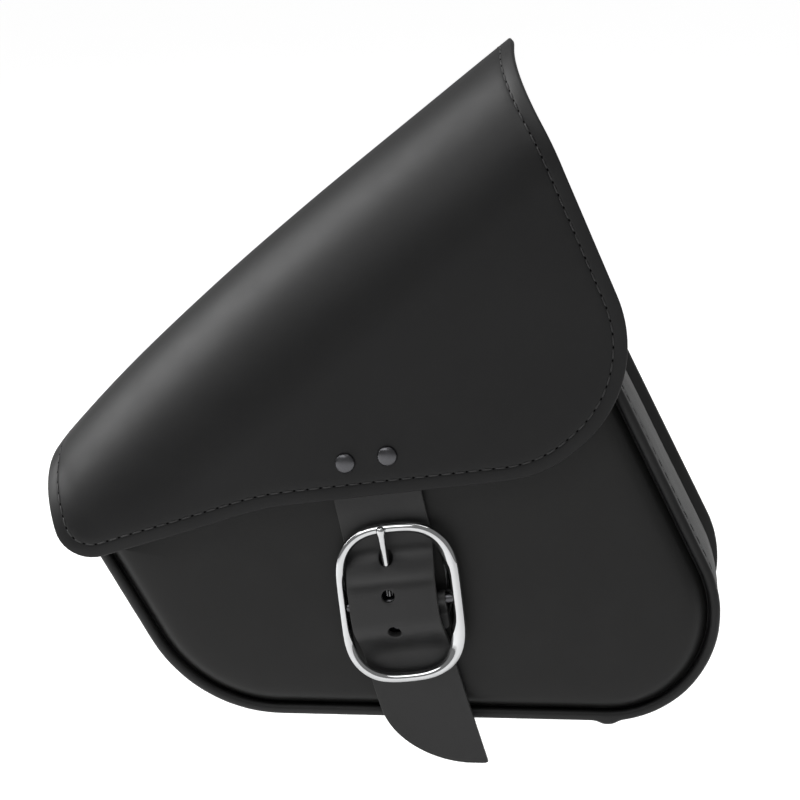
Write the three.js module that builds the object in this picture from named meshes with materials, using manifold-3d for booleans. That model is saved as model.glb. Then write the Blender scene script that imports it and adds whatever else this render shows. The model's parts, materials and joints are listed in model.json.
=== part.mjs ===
// A leather swingarm saddlebag: a three-cornered box with a flap that rolls over its sloping
// top, a strap, a centre-bar buckle and a snap hidden behind the buckle.
// Millimetres. X to the right, Z up, the front faces -Y and the back face lies at Y = 0.

import * as THREE from 'three';
import Module from 'manifold-3d';
import { mergeVertices } from 'three/addons/utils/BufferGeometryUtils.js';

const wasm = await Module();
wasm.setup();

const degrees = Math.PI / 180;
const GAP = 0.3;

// ---- driving sizes ----

const BAG = { leather: 3.2, wall: 3, gussetFront: 105, mouthInset: 2.5 };
const STIFFENER = { thickness: 2, inset: 14, mouthInset: 5 };
const PIPING = { radius: 2.7, depth: 107.5, jointX: 104, jointLength: 9, jointRadius: 3.9 };
const PANEL = { thickness: 3, crown: 117.6, centreX: 30, centreZ: -62, mouthLess: 3 };
const SLOPE = { angle: 42.3 * degrees, startX: -168, startZ: -24, length: 296 };
const ROLL = {
  depth: 126.9, back: 46, front: 60, bow: 6.8, bowSkew: 0.75, endBend: 6, endLength: 40, endReach: 55,
};
const FLAP = { thickness: 3, lining: 0.8, liningInset: 1.5, liningStart: 4, hingeGap: 0.2 };
const HINGE_RELIEF = 1.9;
const EYELET = { hole: 4.2, barrel: 5, flange: 8, flangeThickness: 0.9, sunk: 0.1 };
const EYELET_PLACES = [[-45, -110], [75, -110], [-45, -40], [75, -40]];
const CLOSURE = { x: 5.7, z: -85.1, tilt: 7 * degrees };
const STRAP = {
  width: 42.5, thickness: 3.2, x: -2.9, top: 82.3, bend: 48.8, face: 122.3, dip: 121.6, rise: 12.4,
};
const TAIL = { start: -52, end: -84.5, point: 2.3 };
const HOLES = { radius: 3.1, x: -1.8, places: [22, 5.6, -12.8] };
const BUCKLE = {
  width: 59.6, height: 78.6, corner: 22, bar: 5, broad: 2.2, deep: 5.8, axis: 126.1, pin: 2.25,
};
const PRONG = { radius: 1.8, bulb: 2.2, eye: 4.2, eyeWidth: 5, clearance: 1.5 };
const CHAPE = { width: 43.2, thickness: 1.6, end: -15.4, backLeg: 121.5, frontLeg: 123.4 };
const CHAPE_SLOT = { width: 8, height: 14, z: 1.5 };
const SNAP = { x: -2.9, z: -11, shank: 1.6 };
const RIVET = { head: 4.75, height: 1.92, edge: 0.5, shank: 1.7, seat: 119.2 };
const RIVET_PLACES = [['left', -17.8, 70.2], ['right', 2.4, 71.6]];

// Turned pieces, as [radius from the axis, depth behind Y = 0].
const SNAP_CAP = [[0, 125.3], [2.2, 125.2], [3, 124.9], [3.2, 124.6], [0, 124.6]];
const SNAP_SOCKET = [[0, 120.4], [5.6, 120.4], [5.6, 118.7], [5, 118.4], [3.8, 118.4], [3.8, 119.9],
  [0, 119.9]];
const SNAP_STUD = [[0, 119.6], [2.2, 119.6], [2.9, 119.1], [2.7, 118.2], [5, 118.2], [5, 117.9],
  [0, 117.9]];
const SNAP_POST = [[0, 117.6], [1.6, 117.6], [1.6, 113.9], [5.5, 113.9], [5.5, 113.1], [0, 113.1]];
const RIVET_BURR = [[0, 118.8], [4, 118.8], [4, 118.2], [0, 118.2]];

// ---- materials ----

const look = (color, roughness, metalness) =>
  new THREE.MeshStandardMaterial({ color, roughness, metalness });
const leather = look(0x2b2b2b, 0.5, 0);
const mattLeather = look(0x333333, 0.75, 0);
const fabric = look(0x26241f, 0.9, 0);
const blackPlastic = look(0x1c1c1c, 0.6, 0);
const chrome = look(0xd8d8d8, 0.08, 1);
const gunmetal = look(0x55555a, 0.35, 1);
const nickel = look(0xa8a8a8, 0.3, 1);

const bag = new THREE.Group();
const closure = new THREE.Group();
closure.position.set(CLOSURE.x, 0, CLOSURE.z);
closure.rotation.y = -CLOSURE.tilt;
bag.add(closure);

function addPart(parent, name, geometry, material) {
  const mesh = new THREE.Mesh(geometry, material);
  mesh.name = name;
  parent.add(mesh);
}

// ---- solids ----

function toSolid(geometry) {
  const bare = geometry.clone();
  bare.deleteAttribute('normal');
  bare.deleteAttribute('uv');
  const merged = mergeVertices(bare);
  const vertProperties = new Float32Array(merged.attributes.position.array);
  const triVerts = new Uint32Array(merged.index.array);
  return new wasm.Manifold(new wasm.Mesh({ numProp: 3, vertProperties, triVerts }));
}

function toGeometry(solid) {
  const mesh = solid.getMesh();
  const geometry = new THREE.BufferGeometry();
  geometry.setAttribute('position', new THREE.BufferAttribute(mesh.vertProperties, 3));
  geometry.setIndex(new THREE.BufferAttribute(mesh.triVerts, 1));
  geometry.computeVertexNormals();
  return geometry;
}

function cut(geometry, tools) {
  let solid = toSolid(geometry);
  for (const tool of tools) solid = solid.subtract(toSolid(tool));
  return toGeometry(solid);
}

function join(first, second) {
  return toGeometry(toSolid(first).add(toSolid(second)));
}

// A closed mesh from its points and triangles, turned so that its faces point out.
function closedMesh(points, triangles) {
  let volume = 0;
  const cross = new THREE.Vector3();
  triangles.forEach(([a, b, c]) => {
    volume += points[a].dot(cross.crossVectors(points[b], points[c]));
  });
  const geometry = new THREE.BufferGeometry().setFromPoints(points);
  const outward = volume > 0 ? triangles : triangles.map(([a, b, c]) => [a, c, b]);
  geometry.setIndex(outward.flat());
  geometry.computeVertexNormals();
  return geometry;
}

// Two grids of points of the same size, joined round their edge into one closed sheet.
function sheetSolid(front, back) {
  const rows = front.length;
  const columns = front[0].length;
  const points = [...front.flat(), ...back.flat()];
  const at = (side, row, column) => (side * rows + row) * columns + column;
  const triangles = [];
  const quad = (a, b, c, d) => triangles.push([a, b, c], [a, c, d]);
  for (let row = 0; row < rows - 1; row += 1) {
    for (let column = 0; column < columns - 1; column += 1) {
      const next = [row + 1, column + 1];
      quad(at(0, row, column), at(0, row, next[1]), at(0, ...next), at(0, next[0], column));
      quad(at(1, row, column), at(1, next[0], column), at(1, ...next), at(1, row, next[1]));
    }
    quad(at(0, row + 1, 0), at(1, row + 1, 0), at(1, row, 0), at(0, row, 0));
    const last = columns - 1;
    quad(at(0, row, last), at(1, row, last), at(1, row + 1, last), at(0, row + 1, last));
  }
  for (let column = 0; column < columns - 1; column += 1) {
    quad(at(0, 0, column), at(1, 0, column), at(1, 0, column + 1), at(0, 0, column + 1));
    const last = rows - 1;
    quad(at(0, last, column + 1), at(1, last, column + 1), at(1, last, column), at(0, last, column));
  }
  return closedMesh(points, triangles);
}

// Rings of points from one pole to the other, with a single point at each end.
function ringSolid(firstPole, rings, lastPole) {
  const count = rings[0].length;
  const points = [...rings.flat(), firstPole, lastPole];
  const first = points.length - 2;
  const last = points.length - 1;
  const triangles = [];
  for (let i = 0; i < count; i += 1) {
    const next = (i + 1) % count;
    triangles.push([first, next, i]);
    for (let ring = 0; ring < rings.length - 1; ring += 1) {
      const here = ring * count;
      const there = here + count;
      triangles.push([here + i, here + next, there + next], [here + i, there + next, there + i]);
    }
    const end = (rings.length - 1) * count;
    triangles.push([end + i, end + next, last]);
  }
  return closedMesh(points, triangles);
}

// A ring whose section is carried round a closed path.
function loopSolid(path, sectionAt) {
  const rings = path.map(sectionAt);
  const count = rings[0].length;
  const triangles = [];
  rings.forEach((_, ring) => {
    const here = ring * count;
    const there = ((ring + 1) % rings.length) * count;
    for (let i = 0; i < count; i += 1) {
      const next = (i + 1) % count;
      triangles.push([here + i, here + next, there + next], [here + i, there + next, there + i]);
    }
  });
  return closedMesh(rings.flat(), triangles);
}

// An outline in X and Z, pushed back from Y = -front to Y = -back.
function plate(outline, front, back, holes = []) {
  const shape = new THREE.Shape(outline);
  shape.holes = holes;
  const geometry = new THREE.ExtrudeGeometry(shape, { depth: back - front, bevelEnabled: false });
  geometry.rotateX(Math.PI / 2);
  geometry.translate(0, -front, 0);
  return geometry;
}

// A turned piece on an axis along Y, from a profile that starts and ends on the axis or
// closes on itself, its seam welded.
function turned(profile, x, z) {
  const points = profile.map(([radius, depth]) => new THREE.Vector2(radius, -depth));
  const geometry = new THREE.LatheGeometry(points, 20);
  geometry.translate(x, 0, z);
  return toGeometry(toSolid(geometry));
}

function rod(radius, front, back, x, z) {
  return turned([[0, back], [radius, back], [radius, front], [0, front]], x, z);
}

function tube(points, radius, steps) {
  const circle = new THREE.Shape().absarc(0, 0, radius, 0, 2 * Math.PI);
  const extrudePath = new THREE.CatmullRomCurve3(points, false, 'centripetal');
  return new THREE.ExtrudeGeometry(circle, { steps, curveSegments: 6, extrudePath });
}

// ---- outlines ----

const ARC_STEPS = 12;
const SIDE_STEPS = 6;

// Straight sides joined by round corners. corners hold [x, z, radius, inset of the side after it].
function roundedOutline(corners, arcSteps = ARC_STEPS, sideSteps = SIDE_STEPS) {
  const count = corners.length;
  const sides = corners.map(([x, z, , inset], i) => {
    const [nextX, nextZ] = corners[(i + 1) % count];
    const along = new THREE.Vector2(nextX - x, nextZ - z).normalize();
    const inward = new THREE.Vector2(-along.y, along.x);
    const start = new THREE.Vector2(x, z).addScaledVector(inward, inset);
    return { along, inward, start, inset };
  });
  const vertices = sides.map((side, i) => {
    const before = sides[(i + count - 1) % count];
    const turn = before.along.cross(side.along);
    const apart = side.start.clone().sub(before.start);
    return before.start.clone().addScaledVector(before.along, apart.cross(side.along) / turn);
  });
  const outline = [];
  vertices.forEach((vertex, i) => {
    const before = sides[(i + count - 1) % count];
    const side = sides[i];
    const turn = Math.atan2(before.along.cross(side.along), before.along.dot(side.along));
    const sign = Math.sign(turn);
    const radius = Math.max(corners[i][2] - sign * side.inset, 0.5);
    const reach = radius * Math.tan(Math.abs(turn) / 2);
    const centre = vertex.clone().addScaledVector(before.along, -reach);
    centre.addScaledVector(before.inward, sign * radius);
    const startAngle = Math.atan2(-sign * before.inward.y, -sign * before.inward.x);
    for (let step = 0; step <= arcSteps; step += 1) {
      const angle = startAngle + (turn * step) / arcSteps;
      const spoke = new THREE.Vector2(Math.cos(angle), Math.sin(angle));
      outline.push(centre.clone().addScaledVector(spoke, radius));
    }
    const arcEnd = outline[outline.length - 1];
    const nextVertex = vertices[(i + 1) % count];
    const nextSide = sides[(i + 1) % count];
    const nextTurn = Math.atan2(side.along.cross(nextSide.along), side.along.dot(nextSide.along));
    const nextSign = Math.sign(nextTurn);
    const nextRadius = Math.max(corners[(i + 1) % count][2] - nextSign * nextSide.inset, 0.5);
    const nextReach = nextRadius * Math.tan(Math.abs(nextTurn) / 2);
    const sideEnd = nextVertex.clone().addScaledVector(side.along, -nextReach);
    for (let step = 1; step < sideSteps; step += 1) {
      outline.push(arcEnd.clone().lerp(sideEnd, step / sideSteps));
    }
  });
  return outline;
}

// The sloping top: s runs up along the crest and n stands square to it, both in the X-Z plane.
function slopePoint(s, n) {
  const cos = Math.cos(SLOPE.angle);
  const sin = Math.sin(SLOPE.angle);
  return new THREE.Vector2(SLOPE.startX + s * cos - n * sin, SLOPE.startZ + s * sin + n * cos);
}

// The bag's outline seen from the front, from the mouth's low end round the bottom to its
// high end. inset moves the three sewn sides in, and mouthInset moves the mouth down.
function bagOutline(inset, mouthInset) {
  const low = slopePoint(-10.5, -ROLL.back);
  const high = slopePoint(263.1, -ROLL.back);
  return roundedOutline([
    [low.x, low.y, 3, inset],
    [-96, -147.5, 74, inset],
    [190, -146.4, 54, inset],
    [high.x, high.y, 3, mouthInset],
  ]);
}

// The sewn sides alone, from the mouth's low end round the bottom to its high end.
function sewnSides(inset) {
  const outline = bagOutline(inset, BAG.mouthInset);
  return outline.slice(ARC_STEPS, outline.length - ARC_STEPS - SIDE_STEPS + 1);
}

const at = (point, depth) => new THREE.Vector3(point.x, -depth, point.y);

// ---- the bag's shell ----

function eyeletHoles(radius) {
  return EYELET_PLACES.map(([x, z]) => new THREE.Path().absarc(x, z, radius, 0, 2 * Math.PI));
}

// Each eyelet's outer flange is sunk into the back panel, which leaves the back face flat.
function backPanel() {
  const leather = plate(bagOutline(0, HINGE_RELIEF), 0, BAG.leather, eyeletHoles(EYELET.barrel + GAP));
  const sunk = EYELET.sunk + EYELET.flangeThickness + GAP;
  return cut(leather, EYELET_PLACES.map(([x, z]) => rod(EYELET.flange + GAP, -1, sunk, x, z)));
}

function backStiffener() {
  const front = BAG.leather + GAP;
  const outline = bagOutline(STIFFENER.inset, STIFFENER.mouthInset);
  return plate(outline, front, front + STIFFENER.thickness, eyeletHoles(EYELET.barrel + GAP));
}

// The gusset is a band round the sewn sides, open at the mouth. It stands nearly flush with the
// piping and tucks in at both seams, so that the back panel's edge shows round it as a flange.
// Each entry is [inset, depth].
const GUSSET_FACE = [[4.9, BAG.leather + GAP], [2.4, 14], [1.2, 35], [0.9, 60], [1, 88], [1.6, 98],
  [4.5, BAG.gussetFront]];

function gusset() {
  const band = (wall) => GUSSET_FACE.map(([inset, depth]) => (
    sewnSides(inset + wall).map((point) => at(point, depth))));
  return sheetSolid(band(0), band(BAG.wall));
}

// The front panel is moulded: a sewn rim, a rounded step, and a face that crowns outwards.
// Each entry is [inset from the piping's outer edge, depth].
const PANEL_FACE = [[6.1, 105.7], [6.1, 106.6], [8.3, 106.8], [8.8, 109.4], [9.6, 111.8], [11.6, 114.1],
  [15, 115.4], [21, 116.1], [28, 116.4]];
const PANEL_LINING = [[26, 113.4], [20, 113.1], [15.8, 112.4], [12.8, 110.4], [12, 108], [11.4, 105.7]];

// Towards the mouth the panel's rings stay a little closer together than at the sewn sides.
function panelRing(inset, depth) {
  const mouthInset = Math.max(inset - PANEL.mouthLess, BAG.mouthInset);
  return bagOutline(inset, mouthInset).map((point) => at(point, depth));
}

// Rings that close in on the panel's centre, while the face rises to its crown.
function crownRings(edge, centre, edgeDepth, crownDepth) {
  return [0.8, 0.6, 0.4, 0.2].map((size) => {
    const depth = crownDepth + (edgeDepth - crownDepth) * size * size;
    return edge.map(({ x, z }) => {
      const point = new THREE.Vector2(x, z).sub(centre).multiplyScalar(size).add(centre);
      return at(point, depth);
    });
  });
}

function frontPanel() {
  const centre = new THREE.Vector2(PANEL.centreX, PANEL.centreZ);
  const face = PANEL_FACE.map(([inset, depth]) => panelRing(inset, depth));
  const back = PANEL_LINING.map(([inset, depth]) => panelRing(inset, depth));
  const faceCrown = crownRings(face[face.length - 1], centre, PANEL_FACE.at(-1)[1], PANEL.crown);
  const backCrown = crownRings(back[0], centre, PANEL_LINING[0][1], PANEL.crown - PANEL.thickness);
  const rings = [...faceCrown.reverse(), ...face.reverse(), ...back.reverse(), ...backCrown];
  const solid = ringSolid(at(centre, PANEL.crown), rings, at(centre, PANEL.crown - PANEL.thickness));
  const snapPlace = closurePoint(SNAP.x, SNAP.z);
  const front = PANEL.crown + PANEL.thickness;
  return cut(solid, [rod(SNAP.shank + GAP, BAG.gussetFront, front, snapPlace.x, snapPlace.y)]);
}

// The piping follows the sewn sides, and its two ends overlap in a short lump at the bottom.
function frontPiping() {
  const path = sewnSides(PIPING.radius).map((point) => at(point, PIPING.depth));
  const cord = tube(path, PIPING.radius, 70);
  const bottom = Math.min(...path.map((point) => point.z));
  const lump = new THREE.CapsuleGeometry(PIPING.jointRadius, PIPING.jointLength / 2, 6, 12);
  lump.rotateZ(Math.PI / 2);
  lump.scale(1, PIPING.radius / PIPING.jointRadius, 1);
  lump.translate(PIPING.jointX, -PIPING.depth, bottom);
  return join(cord, lump);
}

function eyelet(x, z) {
  const thick = EYELET.flangeThickness;
  const back = EYELET.sunk;
  const front = BAG.leather + GAP + STIFFENER.thickness + GAP;
  return turned([
    [EYELET.hole, front + thick], [EYELET.flange, front + thick], [EYELET.flange, front],
    [EYELET.barrel, front], [EYELET.barrel, back + thick], [EYELET.flange, back + thick],
    [EYELET.flange, back], [EYELET.hole, back], [EYELET.hole, front + thick],
  ], x, z);
}

// ---- the flap ----

// The flap's cut outline: s along the crest, a down its length from the hinge over the roll.
const CREST_A = 88;
const FRONT_A = 184.5;
const FLAP_CORNERS = [[-5, 0, 2], [266, 0, 2], [300, 92, 44], [286, 172, 150], [247.5, 286, 62],
  [180, 286, 60], [70, 210, 120], [-24, 168.5, 22], [0.5, 88, 30]];

function flapOutline(inset) {
  return roundedOutline(FLAP_CORNERS.map(([s, a, radius]) => [s, a, radius, inset]));
}

// Where a line of constant a crosses the outline.
function spanAt(outline, a) {
  const hits = [];
  outline.forEach((point, i) => {
    const next = outline[(i + 1) % outline.length];
    if ((point.y <= a) !== (next.y <= a)) {
      hits.push(point.x + ((next.x - point.x) * (a - point.y)) / (next.y - point.y));
    }
  });
  return [Math.min(...hits), Math.max(...hits)];
}

// A point of the flap, depth below its outer face. Square to the crest the roll is two
// quarters of an ellipse, and the crest bows up between its ends. The low end bends back.
function flapPoint(s, a, depth) {
  const quarter = 90 * degrees;
  const halfDepth = ROLL.depth / 2;
  const along = Math.min(Math.max(s / SLOPE.length, 0), 1);
  const side = a < CREST_A ? ROLL.back : ROLL.front;
  const rise = side + ROLL.bow * Math.sin(Math.PI * along ** ROLL.bowSkew);
  const angle = a < CREST_A
    ? (quarter * a) / CREST_A
    : Math.min(quarter * (1 + (a - CREST_A) / (FRONT_A - CREST_A)), 2 * quarter);
  const n = rise * Math.sin(angle) - side - Math.max(a - FRONT_A, 0);
  const y = -halfDepth * (1 - Math.cos(angle));
  const normal = new THREE.Vector2(rise * Math.cos(angle), halfDepth * Math.sin(angle)).normalize();
  const endways = Math.max((ROLL.endLength - s) / ROLL.endReach, 0);
  const bend = ROLL.endBend * endways * endways * Math.max(angle / quarter - 1, 0);
  const place = slopePoint(s, n - depth * normal.y);
  return new THREE.Vector3(place.x, y - depth * normal.x + bend, place.y);
}

// Rows of the flap from the hinge to its lowest edge, even over the roll and then closer
// together towards the edge, where the outline turns.
function flapRows(first, last, rollRows = 24, frontRows = 22) {
  const rows = [];
  for (let i = 0; i <= rollRows; i += 1) rows.push(first + ((FRONT_A - first) * i) / rollRows);
  for (let i = 1; i <= frontRows; i += 1) {
    rows.push(FRONT_A + (last - FRONT_A) * Math.sin((90 * degrees * i) / frontRows));
  }
  return rows;
}

function flapSheet(inset, first, depth, thickness, columns) {
  const outline = flapOutline(inset);
  const shortOfEdge = 0.05;
  const last = Math.max(...outline.map((point) => point.y)) - shortOfEdge;
  const grid = (below) => flapRows(first, last).map((a) => {
    const [left, right] = spanAt(outline, a);
    return Array.from({ length: columns + 1 }, (_, i) => {
      const s = left + ((right - left) * i) / columns;
      return flapPoint(s, a, below);
    });
  });
  return sheetSolid(grid(depth), grid(depth + thickness));
}

function closurePoint(x, z) {
  const cos = Math.cos(CLOSURE.tilt);
  const sin = Math.sin(CLOSURE.tilt);
  return new THREE.Vector2(CLOSURE.x + x * cos - z * sin, CLOSURE.z + x * sin + z * cos);
}

function drill(radius, x, z) {
  return rod(radius, BAG.gussetFront, ROLL.depth + STRAP.rise, x, z);
}

function rivetDrills() {
  return RIVET_PLACES.map(([, x, z]) => {
    const place = closurePoint(x, z);
    return drill(RIVET.shank + GAP, place.x, place.y);
  });
}

function flapLeather() {
  return cut(flapSheet(0, FLAP.hingeGap, 0, FLAP.thickness, 18), rivetDrills());
}

function flapLining() {
  const depth = FLAP.thickness + GAP;
  const lining = flapSheet(FLAP.liningInset, FLAP.liningStart, depth, FLAP.lining, 12);
  return cut(lining, rivetDrills());
}

// ---- the strap and its closure, drawn square to the buckle ----

// How far the strap's middle lies to the side of the buckle's: it leans at the top and turns
// away to the right below the buckle.
function strapMiddle(z) {
  const below = z < 0 ? 0.2 * (Math.hypot(z, 18) - 18) : 0;
  const above = z > 30 ? 0.1 * (z - 30) : 0;
  return STRAP.x + below - above;
}

// 0 up to start, 1 from start + length on, and even in between.
const ramp = (value, start, length) => Math.min(Math.max((value - start) / length, 0), 1);

// The strap's outer face: it dips behind the buckle's ends, rises over its centre bar and
// meets the flap at its root.
function strapDepth(z) {
  const slope = ramp(Math.abs(z), 8, 20);
  const rise = STRAP.rise * (1 - slope * slope * (3 - 2 * slope));
  return STRAP.dip + rise + (STRAP.face - STRAP.dip) * ramp(z, 36, 10);
}

// The tail's end is a curve that sweeps from its left edge to a point at its right edge.
function strapLeft(z) {
  const half = STRAP.width / 2;
  const reach = ramp(-z, -TAIL.start, TAIL.start - TAIL.end);
  const width = STRAP.width * Math.sqrt(1 - reach * reach);
  return half - Math.max(width, TAIL.point);
}

function strapSheet(top, bottom, rows, columns) {
  const grid = (below) => Array.from({ length: rows + 1 }, (_, row) => {
    const z = top + ((bottom - top) * row) / rows;
    const left = strapLeft(z);
    const right = STRAP.width / 2;
    return Array.from({ length: columns + 1 }, (__, column) => {
      const across = left + ((right - left) * column) / columns;
      const slope = strapDepth(z + 0.5) - strapDepth(z - 0.5);
      const square = Math.hypot(1, slope);
      return new THREE.Vector3(
        strapMiddle(z) + across,
        -strapDepth(z) + below / square,
        z + (below * slope) / square,
      );
    });
  });
  return sheetSolid(grid(0), grid(STRAP.thickness));
}

// The prong leaves the centre bar behind the strap, comes out through the strap's hole and
// rests on the front of the buckle's top bar.
const PRONG_PATH = [[126.1, 3], [124.4, 10.5], [125.4, 19.5], [128.6, 28.5], [130.9, 35], [130.6, 39]];
const PRONG_X = strapMiddle(HOLES.places[0]) + HOLES.x;

function prongTube(radius) {
  const middle = PRONG_X;
  const path = PRONG_PATH.map(([depth, z]) => new THREE.Vector3(middle, -depth, z));
  return tube(path, radius, 16);
}

function strap() {
  const holes = HOLES.places.map((z) => drill(HOLES.radius, strapMiddle(z) + HOLES.x, z));
  const sheet = strapSheet(STRAP.bend, TAIL.end, 44, 8);
  return cut(sheet, [...holes, prongTube(PRONG.radius + PRONG.clearance)]);
}

function strapRoot() {
  const drills = RIVET_PLACES.map(([, x, z]) => drill(RIVET.shank + GAP, x, z));
  const root = strapSheet(STRAP.top, STRAP.bend + STRAP.thickness / 2 + GAP, 8, 8);
  return cut(root, drills);
}

function bucklePin(radius, length, x) {
  const pin = new THREE.CylinderGeometry(radius, radius, length, 24);
  pin.rotateZ(Math.PI / 2);
  pin.translate(x, -BUCKLE.axis, 0);
  return pin;
}

const BAR_SIDES = 12;

// A rounded rectangle of oval bar, with the centre bar across it. The inner wall of the right
// side slopes in towards the back.
function buckleFrame() {
  const halfWidth = (BUCKLE.width - BUCKLE.bar) / 2;
  const halfHeight = (BUCKLE.height - BUCKLE.bar) / 2;
  const corner = BUCKLE.corner - BUCKLE.bar / 2;
  const path = roundedOutline([
    [-halfWidth, -halfHeight, corner, 0], [halfWidth, -halfHeight, corner, 0],
    [halfWidth, halfHeight, corner, 0], [-halfWidth, halfHeight, corner, 0],
  ], 10, 4);
  const ring = loopSolid(path, (point, i) => {
    const before = path[(i + path.length - 1) % path.length];
    const after = path[(i + 1) % path.length];
    const along = after.clone().sub(before).normalize();
    const outward = new THREE.Vector2(along.y, -along.x);
    const broad = BUCKLE.broad * ramp(point.x, 0, halfWidth) ** 3;
    return Array.from({ length: BAR_SIDES }, (_, k) => {
      const angle = (2 * Math.PI * k) / BAR_SIDES;
      const innerBack = Math.max(-Math.cos(angle), 0) * (1 - Math.sin(angle));
      const side = (BUCKLE.bar / 2) * Math.cos(angle) - broad * innerBack;
      const deep = (BUCKLE.deep / 2) * Math.sin(angle);
      return at(point.clone().addScaledVector(outward, side), BUCKLE.axis + deep);
    });
  });
  return join(ring, bucklePin(BUCKLE.pin, 2 * halfWidth, 0));
}

function buckleProng() {
  const middle = PRONG_X;
  const eye = bucklePin(PRONG.eye, PRONG.eyeWidth, middle);
  const bulb = new THREE.SphereGeometry(PRONG.bulb, 14, 10);
  bulb.translate(middle, -PRONG_PATH.at(-1)[0], PRONG_PATH.at(-1)[1]);
  const tongue = join(prongTube(PRONG.radius), bulb);
  return cut(join(tongue, eye), [bucklePin(BUCKLE.pin + GAP, PRONG.eyeWidth + 2, middle)]);
}

// The chape's folded line, seen from its side as [depth, z]: up its front leg, round the
// centre bar and down its back leg.
function chapeLine() {
  const wrap = BUCKLE.pin + GAP + CHAPE.thickness / 2;
  const wrapSteps = 12;
  const line = [new THREE.Vector2(CHAPE.frontLeg, CHAPE.end), new THREE.Vector2(CHAPE.frontLeg, -7.5)];
  for (let step = 0; step <= wrapSteps; step += 1) {
    const angle = (-20 + (200 * step) / wrapSteps) * degrees;
    line.push(new THREE.Vector2(BUCKLE.axis + wrap * Math.cos(angle), wrap * Math.sin(angle)));
  }
  line.push(new THREE.Vector2(CHAPE.backLeg, -6), new THREE.Vector2(CHAPE.backLeg, CHAPE.end));
  return line;
}

// The chape is a short strap folded round the centre bar, with a slot for the prong.
function chape() {
  const line = chapeLine();
  const left = -CHAPE.width / 2;
  const face = (offset) => line.map((point, i) => {
    const before = line[Math.max(i - 1, 0)];
    const after = line[Math.min(i + 1, line.length - 1)];
    const along = after.clone().sub(before).normalize();
    const edge = point.clone().add(new THREE.Vector2(along.y, -along.x).multiplyScalar(offset));
    return [left, left + CHAPE.width].map((x) => new THREE.Vector3(x, -edge.x, edge.y));
  });
  const folded = sheetSolid(face(CHAPE.thickness / 2), face(-CHAPE.thickness / 2));
  const slot = new THREE.BoxGeometry(CHAPE_SLOT.width, 4 * PRONG.eye, CHAPE_SLOT.height);
  slot.translate(PRONG_X, -BUCKLE.axis, CHAPE_SLOT.z);
  return cut(folded, [slot]);
}

function snapPieces() {
  const { x, z } = SNAP;
  const place = closurePoint(x, z);
  addPart(closure, 'snap_cap', turned(SNAP_CAP, x, z), nickel);
  addPart(closure, 'snap_socket', turned(SNAP_SOCKET, x, z), nickel);
  addPart(bag, 'snap_stud', turned(SNAP_STUD, place.x, place.y), nickel);
  addPart(bag, 'snap_post', turned(SNAP_POST, place.x, place.y), nickel);
}

// A domed cap with its shank, drawn from the middle of the dome down to its seat.
function rivet(x, z) {
  const face = ROLL.depth + GAP;
  const dome = [0, 0.3, 0.55, 0.8, 0.95, 1].map((out) => [
    RIVET.head * out,
    face + RIVET.edge + RIVET.height * Math.sqrt(1 - out * out),
  ]);
  const under = [[RIVET.head, face], [RIVET.shank, face], [RIVET.shank, RIVET.seat], [0, RIVET.seat]];
  return turned([...dome, ...under], x, z);
}

function rivetPieces() {
  RIVET_PLACES.forEach(([side, x, z]) => {
    addPart(closure, `flap_rivet_${side}`, rivet(x, z), gunmetal);
    addPart(closure, `rivet_burr_${side}`, turned(RIVET_BURR, x, z), nickel);
  });
}

addPart(bag, 'back_panel', backPanel(), mattLeather);
addPart(bag, 'back_stiffener', backStiffener(), blackPlastic);
addPart(bag, 'gusset', gusset(), leather);
addPart(bag, 'front_panel', frontPanel(), leather);
addPart(bag, 'front_piping', frontPiping(), leather);
EYELET_PLACES.forEach(([x, z], i) => addPart(bag, `mount_eyelet_${i + 1}`, eyelet(x, z), nickel));
addPart(bag, 'flap', flapLeather(), leather);
addPart(bag, 'flap_lining', flapLining(), fabric);
addPart(closure, 'strap_root', strapRoot(), mattLeather);
addPart(closure, 'strap', strap(), mattLeather);
addPart(closure, 'chape', chape(), mattLeather);
addPart(closure, 'buckle_frame', buckleFrame(), chrome);
addPart(closure, 'buckle_prong', buckleProng(), chrome);
snapPieces();
rivetPieces();

export default bag;
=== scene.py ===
"""The looks of a black leather swingarm saddlebag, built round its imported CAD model.

Shapes are worked out in millimetres in the model's own frame (X to the right, Z up, the front
faces -Y, a depth is a distance in front of the back face) and become metres when a mesh is made.
"""

import json
import math

import bmesh
import bpy
import numpy as np
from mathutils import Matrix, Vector, noise
from mathutils.geometry import delaunay_2d_cdt


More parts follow.
